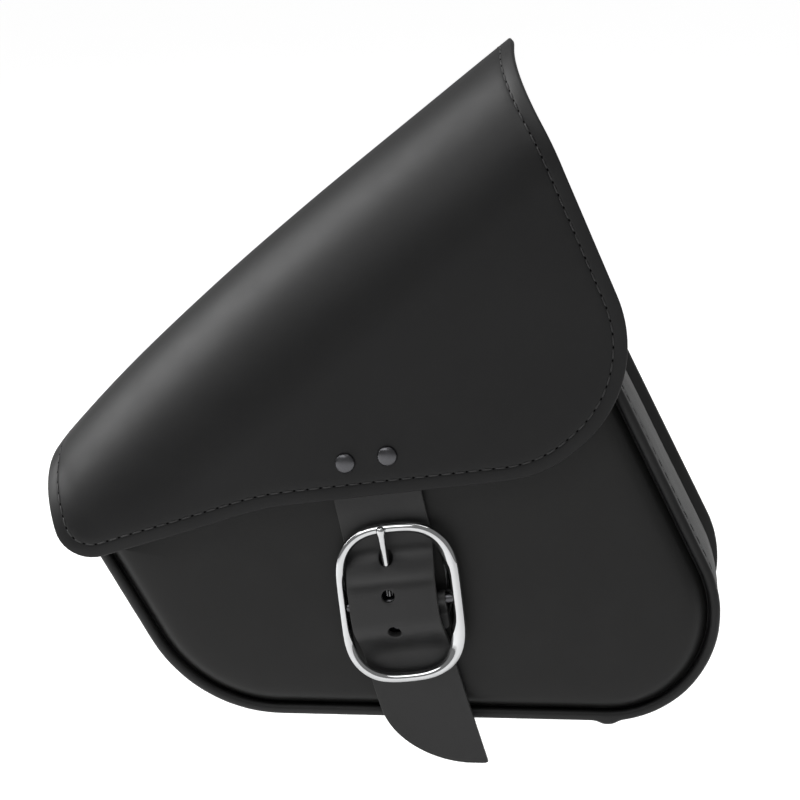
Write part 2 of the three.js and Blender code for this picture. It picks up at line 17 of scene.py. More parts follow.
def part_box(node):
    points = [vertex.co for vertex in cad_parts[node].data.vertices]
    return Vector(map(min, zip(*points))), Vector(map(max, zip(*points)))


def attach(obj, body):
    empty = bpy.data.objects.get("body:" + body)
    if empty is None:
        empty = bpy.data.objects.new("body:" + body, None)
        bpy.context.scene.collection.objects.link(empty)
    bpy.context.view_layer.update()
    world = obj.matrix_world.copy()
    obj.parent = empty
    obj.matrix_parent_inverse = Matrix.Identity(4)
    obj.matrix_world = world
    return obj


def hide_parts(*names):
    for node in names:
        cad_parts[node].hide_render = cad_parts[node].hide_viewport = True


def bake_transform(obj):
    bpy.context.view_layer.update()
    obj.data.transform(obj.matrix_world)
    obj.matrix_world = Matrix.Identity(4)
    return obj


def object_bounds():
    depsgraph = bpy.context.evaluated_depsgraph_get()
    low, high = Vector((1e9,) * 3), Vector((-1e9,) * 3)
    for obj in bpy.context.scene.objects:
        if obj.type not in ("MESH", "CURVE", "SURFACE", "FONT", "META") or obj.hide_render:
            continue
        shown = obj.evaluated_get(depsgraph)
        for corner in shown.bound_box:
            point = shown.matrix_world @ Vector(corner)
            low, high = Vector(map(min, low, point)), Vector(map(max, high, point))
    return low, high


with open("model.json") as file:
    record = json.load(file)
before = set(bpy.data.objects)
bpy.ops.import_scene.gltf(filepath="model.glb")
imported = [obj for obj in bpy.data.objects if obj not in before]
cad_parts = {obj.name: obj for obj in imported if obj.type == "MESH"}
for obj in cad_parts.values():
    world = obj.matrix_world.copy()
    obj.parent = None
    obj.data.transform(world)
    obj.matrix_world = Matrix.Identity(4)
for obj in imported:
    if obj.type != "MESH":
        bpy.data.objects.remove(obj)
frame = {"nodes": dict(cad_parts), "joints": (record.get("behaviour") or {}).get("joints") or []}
cad_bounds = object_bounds()

MM = 0.001
JOINTS = {joint["name"]: joint for joint in frame["joints"]}


# ---- the frame's own places ----


def joint_place(name):
    return np.array(JOINTS[name]["pos_m"]) / MM


def joint_lean(name):
    axis = JOINTS[name]["axis"]
    return math.atan2(-axis[2], -axis[0])


def node_box(name):
    low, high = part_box(name)
    return np.array(low) / MM, np.array(high) / MM


# ---- driving sizes ----
# They are the CAD model's own, with three exceptions. GUSSET_FACE has its own profile, within about
# 2 mm of the CAD band. The strap is 0.3 mm narrower on each side, so that it clears the buckle
# when the buckle rocks. The front panel's rim profile is its own too, within about 2 mm.

LEATHER = 3.2
GUSSET = {"front": 105.2, "back": 3.5, "inset": 4.5, "wall": 3.0, "mouth": 2.5}
GUSSET_FACE = [(5.8, 3.5), (4.3, 14), (2.0, 36), (0.9, 62), (1.0, 86), (1.6, 97), (4.5, 105.2)]
GUSSET_SEAM = 91.0
BACK_SEAM = 5.6
FLANGE_SEAM = 9.4
PIPING = {"radius": 2.7, "depth": 107.5, "joint_x": 104.0, "joint_length": 9.0, "joint_rise": 1.9}
WELT = {"outer": 3.6, "inner": 9.0, "back": 105.25, "front": 105.62}
PANEL = {"rim": 28.0, "rim_depth": 116.4, "crown": 117.6, "centre": (30.0, -62.0), "wall": 3.0}
SLOPE = {"angle": joint_lean("flap_hinge"), "hinge_s": 130.0, "length": 296.0}
ROLL = {"half_depth": 63.45, "back": 46.0, "front": 60.0, "bow": 6.8, "skew": 0.75}
LOW_END = {"bend": 6.0, "length": 40.0, "reach": 55.0}
CREST_A = 88.0
FRONT_A = 184.5
FLAP = {"wall": 3.0, "lining": 0.8, "margin": 6.6, "hinge": -2.0, "lining_start": 4.0}
STRAP = {"width": 41.9, "wall": 3.2, "top": 82.3, "bend": 48.8}
STRAP_FACE = {"root": 122.3, "dip": 121.6, "rise": 12.4}
TAIL = {"start": -52.0, "end": -84.5, "point": 2.3}
STRAP_OFFSET = -2.9
HOLE_OFFSET = -1.8
HOLE_PLACES = (22.0, 5.6, -12.8)
BUCKLE = {"width": 59.6, "height": 78.6, "corner": 22.0, "bar": 5.0, "broad": 2.2, "deep": 5.8, "pin": 2.25}
PRONG_PATH = [(126.1, 3.0), (124.4, 10.5), (125.4, 19.5), (128.6, 28.5), (130.9, 35.0), (130.6, 39.0)]
RIVET = {"height": 1.92, "edge": 0.5, "shank": 1.7}
EYE = {"inner": 2.55, "outer": 4.2, "half_width": 2.5}
CHAPE = {"width": 43.2, "wall": 1.6, "end": -15.4, "back": 121.5, "front": 123.4}

SLOPE_ALONG = np.array([math.cos(SLOPE["angle"]), math.sin(SLOPE["angle"])])
SLOPE_UP = np.array([-SLOPE_ALONG[1], SLOPE_ALONG[0]])
HINGE = joint_place("flap_hinge")
SLOPE_START = HINGE[[0, 2]] - SLOPE["hinge_s"] * SLOPE_ALONG + ROLL["back"] * SLOPE_UP

CLOSURE = joint_place("buckle_rock")
CLOSURE_TILT = joint_lean("strap_swing")
CLOSURE_ALONG = np.array([math.cos(CLOSURE_TILT), math.sin(CLOSURE_TILT)])
CLOSURE_UP = np.array([-CLOSURE_ALONG[1], CLOSURE_ALONG[0]])
BUCKLE_DEPTH = -CLOSURE[1]


def slope_point(s, n):
    """A point from how far it is up the crest and how far it stands square to it."""
    s = np.asarray(s, float)[..., None]
    n = np.asarray(n, float)[..., None]
    return SLOPE_START + s * SLOPE_ALONG + n * SLOPE_UP


def closure_place(x, depth, z):
    """Points from their places square to the buckle."""
    x, depth, z = np.broadcast_arrays(np.asarray(x, float), depth, z)
    flat = CLOSURE[[0, 2]] + x[..., None] * CLOSURE_ALONG + z[..., None] * CLOSURE_UP
    return np.stack([flat[..., 0], -depth, flat[..., 1]], axis=-1)


# ---- meshes ----


def mesh_piece(name, points, faces, material, wear=None):
    """A mesh object from points in millimetres, with its faces turned out and shaded smooth."""
    mesh = bpy.data.meshes.new(name)
    mesh.from_pydata((np.asarray(points, float) * MM).tolist(), [], faces)
    shape = bmesh.new()
    shape.from_mesh(mesh)
    bmesh.ops.recalc_face_normals(shape, faces=shape.faces)
    shape.to_mesh(mesh)
    shape.free()
    mesh.polygons.foreach_set("use_smooth", [True] * len(mesh.polygons))
    if wear is not None:
        attribute = mesh.attributes.new("wear", "FLOAT", "POINT")
        attribute.data.foreach_set("value", np.asarray(wear, np.float32))
    mesh.materials.append(material)
    piece = bpy.data.objects.new(name, mesh)
    bpy.context.scene.collection.objects.link(piece)
    return piece


def between(first, second, count):
    """Four-sided faces that join two closed rings, given where their points start."""
    return [
        (first + i, first + (i + 1) % count, second + (i + 1) % count, second + i)
        for i in range(count)
    ]


def loft(name, sections, material, closed=False):
    """A solid from closed sections, all with as many points, capped at its ends."""
    sections = np.asarray(sections, float)
    rows, count = sections.shape[:2]
    faces = []
    for row in range(rows if closed else rows - 1):
        faces += between(row * count, (row + 1) % rows * count, count)
    if not closed:
        faces.append(tuple(range(count)))
        faces.append(tuple(range((rows - 1) * count, rows * count)))
    return mesh_piece(name, sections.reshape(-1, 3), faces, material)


def turned(name, profile, x, z, material, sides=48):
    """A turned piece on an axis along Y, from (radius, depth) points that start and end on it
    or close on themselves."""
    profile = np.asarray(soften(profile), float)
    ring = round_angles(sides)
    on_axis = profile[0][0] == 0
    body = profile[1:-1] if on_axis else profile[:-1]
    points = [
        (x + radius * math.cos(angle), -depth, z + radius * math.sin(angle))
        for radius, depth in body
        for angle in ring
    ]
    rows = len(body)
    faces = []
    for row in range(rows - 1 if on_axis else rows):
        faces += between(row * sides, (row + 1) % rows * sides, sides)
    if on_axis:
        for end, row in ((0, 0), (-1, rows - 1)):
            pole = len(points)
            points.append((x, -profile[end][1], z))
            faces += [(pole, row * sides + i, row * sides + (i + 1) % sides) for i in range(sides)]
    return mesh_piece(name, points, faces, material)


def round_angles(count):
    return np.linspace(0, 2 * math.pi, count, endpoint=False)


def soften(profile, radius=0.25, steps=4):
    """A profile with each of its inner corners rounded."""
    profile = [np.array(point, float) for point in profile]
    rounded = [profile[0]]
    for before, here, after in zip(profile, profile[1:], profile[2:]):
        back, on = before - here, after - here
        reach = min(radius, 0.45 * np.linalg.norm(back), 0.45 * np.linalg.norm(on))
        start = here + back / np.linalg.norm(back) * reach
        end = here + on / np.linalg.norm(on) * reach
        for step in range(steps + 1):
            t = step / steps
            rounded.append((1 - t) ** 2 * start + 2 * t * (1 - t) * here + t**2 * end)
    return rounded + [profile[-1]]


def smooth_curve(points, steps):
    """A smooth curve through the points."""
    points = np.asarray(points, float)
    padded = np.vstack([2 * points[0] - points[1], points, 2 * points[-1] - points[-2]])
    curve = []
    for a, b, c, d in zip(padded, padded[1:], padded[2:], padded[3:]):
        for t in np.arange(steps) / steps:
            linear = b + 0.5 * t * (c - a)
            square = t**2 * (a - 2.5 * b + 2 * c - 0.5 * d)
            cube = t**3 * (1.5 * (b - c) + 0.5 * (d - a))
            curve.append(linear + square + cube)
    return np.array(curve + [points[-1]])


def resample(path, step, closed=False):
    """Even points along a path, about step apart."""
    path = np.vstack([path, path[:1]]) if closed else np.asarray(path)
    lengths = np.linalg.norm(np.diff(path, axis=0), axis=1)
    travelled = np.concatenate([[0], np.cumsum(lengths)])
    count = max(int(round(travelled[-1] / step)), 2)
    wanted = np.linspace(0, travelled[-1], count + 1)
    if closed:
        wanted = wanted[:-1]
    return np.stack([np.interp(wanted, travelled, axis) for axis in path.T], axis=1)


def unit(rows):
    return rows / np.linalg.norm(rows, axis=1, keepdims=True)


def tangents(path, closed=False):
    if closed:
        along = np.roll(path, -1, axis=0) - np.roll(path, 1, axis=0)
    else:
        along = np.gradient(path, axis=0)
    return unit(along)


def square_to(along):
    """Directions square to a flat path, to its left, which is inwards on every closed outline here."""
    return np.column_stack([-along[:, 1], along[:, 0]])


# ---- flat outlines ----


def cross(a, b):
    return a[0] * b[1] - a[1] * b[0]


def rounded_outline(corners, insets, spacing=3.0):
    """A closed outline of straight sides and round corners, with each side moved in.

    corners are (u, v, radius). How many points it has doesn't depend on the insets.
    """
    count = len(corners)
    places = np.array([corner[:2] for corner in corners], float)
    alongs = [places[(i + 1) % count] - places[i] for i in range(count)]
    lengths = [np.linalg.norm(along) for along in alongs]
    alongs = [along / length for along, length in zip(alongs, lengths)]
    inwards = [np.array([-along[1], along[0]]) for along in alongs]
    starts = [places[i] + inwards[i] * insets[i] for i in range(count)]
    arcs = []
    for i in range(count):
        turn = math.atan2(cross(alongs[i - 1], alongs[i]), alongs[i - 1] @ alongs[i])
        side = math.copysign(1, turn)
        apart = cross(starts[i] - starts[i - 1], alongs[i]) / cross(alongs[i - 1], alongs[i])
        vertex = starts[i - 1] + alongs[i - 1] * apart
        radius = max(corners[i][2] - side * insets[i], 0.5)
        tangent = vertex - alongs[i - 1] * radius * math.tan(abs(turn) / 2)
        centre = tangent + inwards[i - 1] * side * radius
        spoke = tangent - centre
        steps = max(int(corners[i][2] * abs(turn) / spacing), 5)
        angles = turn * np.arange(steps + 1) / steps
        arcs.append(
            centre
            + np.outer(np.cos(angles), spoke)
            + np.outer(np.sin(angles), (-spoke[1], spoke[0]))
        )
    outline = []
    for i, arc in enumerate(arcs):
        steps = max(int(lengths[i] / spacing), 2)
        shares = (np.arange(1, steps) / steps)[:, None]
        outline += [arc, arc[-1] + shares * (arcs[(i + 1) % count][0] - arc[-1])]
    return np.vstack(outline)


def oval(hole, grow, sides=28):
    x, z, half_width, half_height = hole
    angles = round_angles(sides)
    return np.stack(
        [x + (half_width + grow) * np.cos(angles), z + (half_height + grow) * np.sin(angles)], axis=1
    )


def inside(points, ring):
    """Which of the points lie inside a closed ring."""
    after = np.roll(ring, -1, axis=0)
    u, v = points[:, :1], points[:, 1:]
    spans = (ring[:, 1] <= v) != (after[:, 1] <= v)
    rise = np.where(after[:, 1] == ring[:, 1], 1, after[:, 1] - ring[:, 1])
    crossing = ring[:, 0] + (after[:, 0] - ring[:, 0]) * (v - ring[:, 1]) / rise
    return (spans & (crossing > u)).sum(axis=1) % 2 == 1


# triangles under this share of a spacing squared are slivers, and are left out
SLIVER = 0.002


def fill(ring, margin_ring, holes, grow, spacing):
    """Even points inside a ring and clear of its holes, and the triangles that join them all."""
    low, high = ring.min(axis=0), ring.max(axis=0)
    rows = np.arange(low[1], high[1], spacing * math.sqrt(0.75))
    grid = np.array(
        [
            (u + spacing / 2 * (row % 2), v)
            for row, v in enumerate(rows)
            for u in np.arange(low[0], high[0], spacing)
        ]
    )
    grid = grid[inside(grid, margin_ring)]
    for hole in holes:
        grid = grid[~inside(grid, oval(hole, grow + 0.6 * spacing))]
    loops = [ring] + [oval(hole, grow) for hole in holes]
    edges = []
    start = 0
    for loop in loops:
        edges += [(start + i, start + (i + 1) % len(loop)) for i in range(len(loop))]
        start += len(loop)
    points = np.vstack(loops + [grid])
    result = delaunay_2d_cdt([Vector(point) for point in points], edges, [], 0, 1e-7)
    source = [origins[0] for origins in result[3]]
    triangles = np.array([[source[i] for i in face] for face in result[2]])
    a, b, c = (points[triangles[:, corner]] for corner in range(3))
    middles = (a + b + c) / 3
    area = abs((b - a)[:, 0] * (c - a)[:, 1] - (b - a)[:, 1] * (c - a)[:, 0]) / 2
    keep = inside(middles, ring) & (area > SLIVER * spacing**2)
    for hole in holes:
        keep &= ~inside(middles, oval(hole, grow))
    return grid, triangles[keep]


HOLE_PROFILE = ((0.55, 0.0), (0.2, 0.06), (0.03, 0.3), (0.0, 0.7))


def sheet(name, ring, place, profile, material, holes=(), spacing=3.0):
    """A leather sheet with shaped edges.

    ring(inset) is its outline moved in, place(points, depth) puts flat points in space, and
    profile lists (inset, depth) from the border of its face round the edge to that of its back.
    """
    face_depth, back_depth = profile[0][1], profile[-1][1]
    wall = back_depth - face_depth
    border = [ring(inset) for inset, _ in profile]
    margin = ring(profile[0][0] + 0.6 * spacing)
    edge = [(grow, face_depth + math.copysign(depth, wall)) for grow, depth in HOLE_PROFILE]
    edge += [(grow, back_depth - math.copysign(depth, wall)) for grow, depth in HOLE_PROFILE[::-1]]
    grow = HOLE_PROFILE[0][0]
    grid, triangles = fill(border[0], margin, holes, grow, spacing)
    points = [place(points, depth) for points, (_, depth) in zip(border, profile)]
    wear = [np.full(len(border[0]), max(1 - inset, 0)) for inset, _ in profile]
    count = len(border[0])
    faces = []
    for row in range(len(profile) - 1):
        faces += between(row * count, (row + 1) * count, count)
    face_index = list(range(count))
    back_index = list(range((len(profile) - 1) * count, len(profile) * count))
    start = len(profile) * count
    for hole in holes:
        sides = len(oval(hole, 0))
        for grown, depth in edge:
            points.append(place(oval(hole, grown), depth))
            wear.append(np.full(sides, max(1 - grown / grow, 0)))
        for row in range(len(edge) - 1):
            faces += between(start + row * sides, start + (row + 1) * sides, sides)
        face_index += range(start, start + sides)
        back_index += range(start + (len(edge) - 1) * sides, start + len(edge) * sides)
        start += len(edge) * sides
    for index, depth in ((face_index, face_depth), (back_index, back_depth)):
        index += range(start, start + len(grid))
        start += len(grid)
        points.append(place(grid, depth))
        wear.append(np.zeros(len(grid)))
        faces += [tuple(index[corner] for corner in triangle) for triangle in triangles]
    return mesh_piece(name, np.vstack(points), faces, material, np.concatenate(wear))


def rounded_edge(wall, radius):
    """The profile of a sheet's edge, from its face to its back."""
    steps = (1.8, 1.0, 0.62, 0.3, 0.08, 0.0)
    lifts = (0.0, 0.0, 0.07, 0.3, 0.7, 1.0)
    face = [(inset * radius, lift * radius) for inset, lift in zip(steps, lifts)]
    back = [(inset * radius, wall - lift * radius) for inset, lift in zip(steps, lifts)]
    return face + back[::-1]


def groove(centre, depth, half_width):
    """Profile points that press a sewn line into a face, from its inner side to its outer."""
    shape = ((1.0, 0.0), (0.6, 0.3), (0.25, 0.85), (0.0, 1.0), (-0.25, 0.85), (-0.6, 0.3), (-1.0, 0.0))
    return [(centre + out * half_width, down * depth) for out, down in shape]


def uneven(points, size, height):
    """How far each point's surface is lifted or sunk by the leather's slow waves."""
    return np.array([noise.noise(Vector(point) / size) for point in points]) * height


# ---- thread ----

STITCH = {"seam": 7.0, "flap": 6.3}
THREAD = {"half_width": 0.42, "half_height": 0.3, "sides": 8, "steps": 8}


def sewn(name, path, outward, pitch, body, share=0.86):
    """A row of stitches along a path on a surface, and dark lenses of painted shade at the awl holes that
    they dip into.

    share is how much of each pitch the thread itself covers.
    """
    path = np.asarray(path, float)
    travelled = np.concatenate([[0], np.cumsum(np.linalg.norm(np.diff(path, axis=0), axis=1))])
    count = int(round(travelled[-1] / pitch))

    def sample(values, distance):
        return np.stack([np.interp(distance, travelled, axis) for axis in np.asarray(values).T], axis=-1)

    marks = np.linspace(0, travelled[-1], count + 1)
    around = round_angles(THREAD["sides"])
    points, faces = [], []
    for start, end in zip(marks, marks[1:]):
        margin = (1 - share) / 2 * (end - start)
        along = np.linspace(start + margin, end - margin, THREAD["steps"])
        share_along = np.linspace(-1, 1, THREAD["steps"])
        centres = sample(path, along)
        up = unit(sample(outward, along))
        side = np.cross(tangents(centres), up)
        lift = 0.16 - 0.62 * share_along**4
        size = np.sqrt(np.maximum(1 - 0.75 * share_along**6, 0.1))
        first = len(points) * THREAD["sides"]
        for k in range(THREAD["steps"]):
            ring = (
                centres[k]
                + up[k] * lift[k]
                + np.outer(np.cos(around) * THREAD["half_width"] * size[k], side[k])
                + np.outer(np.sin(around) * THREAD["half_height"] * size[k], up[k])
            )
            points.append(ring)
        for k in range(THREAD["steps"] - 1):
            here = first + k * THREAD["sides"]
            faces += between(here, here + THREAD["sides"], THREAD["sides"])
        faces.append(tuple(range(first, first + THREAD["sides"])))
        last = first + (THREAD["steps"] - 1) * THREAD["sides"]
        faces.append(tuple(range(last, last + THREAD["sides"])))
    threads = mesh_piece(name, np.vstack(points), faces, THREAD_BLACK)
    holes = painted_hole_shades(name + "_holes", sample(path, marks), sample(outward, marks))
    for piece in (threads, holes):
        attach(piece, body)


def painted_hole_shades(name, places, outward, radius=0.62, sides=10):
    """Painted shade for the awl holes: small near-black lenses that lie in the surface where the holes
    would be in shade.
    """
    up = unit(outward)
    around = round_angles(sides)
    points, faces = [], []
    for place, normal in zip(places, up):
        side = np.cross(normal, (0.3, 0.2, 0.9))
        side /= np.linalg.norm(side)
        other = np.cross(normal, side)
        first = len(points)
        for lift, size in ((0.07, 0.75), (0.0, 1.0), (-0.25, 0.8)):
            for angle in around:
                spoke = math.cos(angle) * side + math.sin(angle) * other
                points.append(place + normal * lift + spoke * radius * size)
        for row in range(2):
            faces += between(first + row * sides, first + (row + 1) * sides, sides)
        faces.append(tuple(range(first, first + sides)))
        faces.append(tuple(range(first + 2 * sides, first + 3 * sides)))
    return mesh_piece(name, points, faces, HOLE_SHADE_PAINT)


def run_of(ring_points, place, depth):
    """A sewn line's path and the way out of the surface along it."""
    face = place(ring_points, depth)
    under = place(ring_points, depth + 1.0)
    return face, unit(face - under)


# ---- materials ----


class Nodes:
    """A material's nodes, made and linked by name."""

    def __init__(self, name):
        self.material = bpy.data.materials.new(name)
        self.material.use_nodes = True
        self.tree = self.material.node_tree
        self.shader = self.tree.nodes["Principled BSDF"]
        self.place = self.tree.nodes.new("ShaderNodeTexCoord").outputs["Object"]

    def link(self, source, target):
        self.tree.links.new(source, target)

    def make(self, kind, **values):
        """A node with some of its inputs set by name."""
        node = self.tree.nodes.new(kind)
        for name, value in values.items():
            node.inputs[name.replace("_", " ")].default_value = value
        return node

    def noise(self, scale, detail=2.0, roughness=0.5):
        node = self.make("ShaderNodeTexNoise", Scale=scale, Detail=detail, Roughness=roughness)
        self.link(self.place, node.inputs["Vector"])
        return node.outputs["Fac"]

    def cells(self, scale):
        node = self.make("ShaderNodeTexVoronoi", Scale=scale)
        node.feature = "DISTANCE_TO_EDGE"
        self.link(self.place, node.inputs["Vector"])
        return node.outputs["Distance"]

    def wave(self, scale, direction, distortion):
        node = self.make("ShaderNodeTexWave", Scale=scale, Distortion=distortion)
        node.bands_direction = direction
        self.link(self.place, node.inputs["Vector"])
        return node.outputs["Fac"]

    def length(self, vector):
        node = self.make("ShaderNodeVectorMath")
        node.operation = "LENGTH"
        self.link(vector, node.inputs[0])
        return node.outputs["Value"]

    def spread(self, value, low, high, start=0.0, end=1.0):
        node = self.make("ShaderNodeMapRange", From_Min=start, From_Max=end, To_Min=low, To_Max=high)
        self.link(value, node.inputs["Value"])
        return node.outputs["Result"]

    def maths(self, operation, first, second):
        node = self.make("ShaderNodeMath")
        node.operation = operation
        for value, socket in ((first, node.inputs[0]), (second, node.inputs[1])):
            if isinstance(value, (int, float)):
                socket.default_value = value
            else:
                self.link(value, socket)
        return node.outputs["Value"]

    def blend(self, share, first, second):
        node = self.make("ShaderNodeMix")
        node.data_type = "RGBA"
        self.link(share, node.inputs["Factor"])
        for value, socket in ((first, node.inputs["A"]), (second, node.inputs["B"])):
            if isinstance(value, tuple):
                socket.default_value = (*value, 1)
            else:
                self.link(value, socket)
        return node.outputs["Result"]

    def bump(self, height, strength, distance, after=None):
        node = self.make("ShaderNodeBump", Strength=strength, Distance=distance)
        self.link(height, node.inputs["Height"])
        if after is not None:
            self.link(after, node.inputs["Normal"])
        return node.outputs["Normal"]

    def attribute(self, name):
        node = self.make("ShaderNodeAttribute")
        node.attribute_name = name
        return node.outputs["Fac"]

    def set(self, **values):
        for name, value in values.items():
            socket = self.shader.inputs[name.replace("_", " ")]
            if isinstance(value, bpy.types.NodeSocket):
                self.link(value, socket)
            elif isinstance(value, tuple):
                socket.default_value = (*value, 1)
            else:
                socket.default_value = value
        return self.material


def leather(name, colour, lighter, worn, roughness, grain=0.1, specular=0.3):
    """Smooth dyed leather: fine pores and grain, slow colour drift, and duller worn edges."""
    nodes = Nodes(name)
    drift = nodes.noise(14, 3)
    cloud = nodes.noise(70, 4)
    wear = nodes.maths("MULTIPLY", nodes.attribute("wear"), nodes.spread(cloud, 0.3, 1.2))
    tone = nodes.blend(nodes.spread(drift, 0, 1, 0.3, 0.7), colour, lighter)
    tone = nodes.blend(wear, tone, worn)
    dull = nodes.maths("ADD", nodes.spread(cloud, roughness - 0.05, roughness + 0.05),
                       nodes.maths("MULTIPLY", wear, 0.2))
    pores = nodes.spread(nodes.cells(1500), 0, 1, 0, 0.28)
    grained = nodes.bump(pores, grain, 0.00012)
    fine = nodes.bump(nodes.noise(4200, 3), grain * 0.6, 0.0001, grained)
    slow = nodes.bump(nodes.noise(110, 3), grain, 0.0004, fine)
    return nodes.set(Base_Color=tone, Roughness=dull, Specular_IOR_Level=specular, Normal=slow)


def metal(name, colour, roughness, grain):
    nodes = Nodes(name)
    cloud = nodes.noise(160, 4, 0.6)
    darker = tuple(0.88 * value for value in colour)
    fine = nodes.bump(nodes.noise(900, 3), grain, 0.0001)
    return nodes.set(Base_Color=nodes.blend(cloud, darker, colour), Metallic=1.0, Normal=fine,
                     Roughness=nodes.spread(cloud, roughness * 0.7, roughness * 1.4, 0.3, 0.7))


def waxed_thread(name, colour):
    nodes = Nodes(name)
    twist = nodes.bump(nodes.wave(900, "DIAGONAL", 1.5), 0.5, 0.0001)
    tone = nodes.blend(nodes.noise(300), colour, tuple(1.8 * value for value in colour))
    return nodes.set(Base_Color=tone, Roughness=nodes.spread(nodes.noise(200), 0.45, 0.6), Normal=twist)


# Painted shade: this near-black colour stands in for the shade inside the awl holes.
def painted_hole_shade(name):
    nodes = Nodes(name)
    tone = nodes.blend(nodes.noise(500), (0.0006, 0.0006, 0.0006), (0.0012, 0.0012, 0.0012))
    return nodes.set(Base_Color=tone, Roughness=0.95, Specular_IOR_Level=0.02)


def woven_backing(name, colour):
    nodes = Nodes(name)
    weave = nodes.maths("MULTIPLY", nodes.wave(520, "X", 0.6), nodes.wave(520, "Z", 0.6))
    tone = nodes.blend(nodes.spread(weave, 0.15, 1), colour, tuple(2.2 * value for value in colour))
    rough = nodes.bump(nodes.maths("ADD", weave, nodes.noise(1500, 3)), 0.5, 0.0003)
    return nodes.set(Base_Color=tone, Roughness=0.9, Specular_IOR_Level=0.15, Normal=rough)


def moulded_plastic(name, colour):
    nodes = Nodes(name)
    grain = nodes.bump(nodes.noise(1800, 2), 0.2, 0.0002)
    tone = nodes.blend(nodes.noise(30), colour, tuple(1.5 * value for value in colour))
    return nodes.set(Base_Color=tone, Roughness=nodes.spread(nodes.noise(60), 0.5, 0.65), Normal=grain)


BLACK = (0.0022, 0.0022, 0.0024)
SOFT_BLACK = (0.0034, 0.0034, 0.0036)
EDGE_BLACK = (0.011, 0.011, 0.0114)
FLAP_LEATHER = leather("flap_leather", BLACK, SOFT_BLACK, EDGE_BLACK, 0.47, 0.1, 0.25)
PANEL_LEATHER = leather("panel_leather", (0.0044, 0.0044, 0.0042), (0.0058, 0.0058, 0.0056), EDGE_BLACK,
                        0.5, 0.1, 0.27)
GUSSET_LEATHER = leather("gusset_leather", BLACK, SOFT_BLACK, EDGE_BLACK, 0.52, 0.12, 0.12)
PIPING_LEATHER = leather("piping_leather", (0.008, 0.008, 0.008), SOFT_BLACK, EDGE_BLACK, 0.5, 0.2)
BACK_LEATHER = leather("back_leather", (0.029, 0.029, 0.029), (0.034, 0.034, 0.0337),
                       (0.04, 0.04, 0.039), 0.68, 0.2, 0.25)
STRAP_LEATHER = leather("strap_leather", (0.0035, 0.0035, 0.0037), (0.0052, 0.0052, 0.0054),
                        (0.018, 0.018, 0.0176), 0.46, 0.18, 0.42)
LINING_FABRIC = woven_backing("flap_lining", (0.008, 0.0078, 0.0072))
STIFFENER = moulded_plastic("stiffener_plastic", (0.01, 0.01, 0.01))
THREAD_BLACK = waxed_thread("thread", (0.004, 0.004, 0.004))
# painted shade for the awl holes
HOLE_SHADE_PAINT = painted_hole_shade("awl_hole_painted_shade")
CHROME = metal("chrome", (0.52, 0.525, 0.53), 0.06, 0.008)
# The rivet caps' own dark metal finish. The centre bar, the prong's eye and the snap cap also take it, as
# painted shade.
GUNMETAL_AND_PAINTED_SHADE = metal("gunmetal", (0.085, 0.085, 0.09), 0.3, 0.03)
NICKEL = metal("nickel", (0.52, 0.51, 0.48), 0.28, 0.03)


def stands_for(piece, body, *nodes):
    """A piece that stands in place of its CAD nodes, which are hidden, and rides on a body when one is
    given.
    """
    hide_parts(*nodes)
    if body:
        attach(piece, body)
    return piece


# ---- the bag's shell ----

BOTTOM_CORNERS = ((-96.0, -147.5, 74.0), (190.0, -146.4, 54.0))
MOUTH_LOW = slope_point(-10.5, -ROLL["back"])
MOUTH_HIGH = slope_point(263.1, -ROLL["back"])


def bag_outline(inset, mouth_inset):
    corners = [(*MOUTH_LOW, 3.0), *BOTTOM_CORNERS, (*MOUTH_HIGH, 3.0)]
    return rounded_outline(corners, (inset, inset, inset, mouth_inset))


def sewn_sides(inset, mouth_inset=GUSSET["mouth"]):
    """The outline's sewn sides alone, from the mouth's low end round the bottom to its high end."""
    outline = bag_outline(inset, mouth_inset)
    down = outline - MOUTH_LOW
    clear = down @ SLOPE_UP < -mouth_inset - 3.5
    start = int(np.argmax(clear & ~np.roll(clear, 1)))
    kept = np.roll(outline, -start, axis=0)[: int(clear.sum())]
    return resample(kept, 3.0)


def upright(points, depth):
    """Flat points of the X-Z plane at a depth."""
    y = np.broadcast_to(-np.asarray(depth, float), len(points))
    return np.column_stack([points[:, 0], y, points[:, 1]])


EYELETS = [f"mount_eyelet_{i}" for i in range(1, 5)]


def back_panel():
    holes = []
    for name in EYELETS:
        low, high = node_box(name)
        x, _, z = (low + high) / 2
        radius = (high[0] - low[0]) / 2 - 2.6
        holes.append((x, z, radius, radius))

    def ring(inset):
        return bag_outline(inset, 1.9 + inset)

    edge = rounded_edge(LEATHER, 0.7)
    profile = groove(FLANGE_SEAM, 0.35, 1.6) + edge[1:]
    back = [(FLANGE_SEAM + 1.6, LEATHER)]
    piece = sheet("back_panel_leather", ring, upright, profile + back, BACK_LEATHER, holes, 5.0)
    return stands_for(piece, "bag", "back_panel")


def gusset_inset(depths):
    """How far in the gusset's face lies. It is pressed in a little along the sewn line."""
    curve = smooth_curve(GUSSET_FACE, 8)
    face = np.interp(depths, curve[:, 1], curve[:, 0])
    seam = 0.42 * np.exp(-(((depths - GUSSET_SEAM) / 1.1) ** 2))
    return face, seam


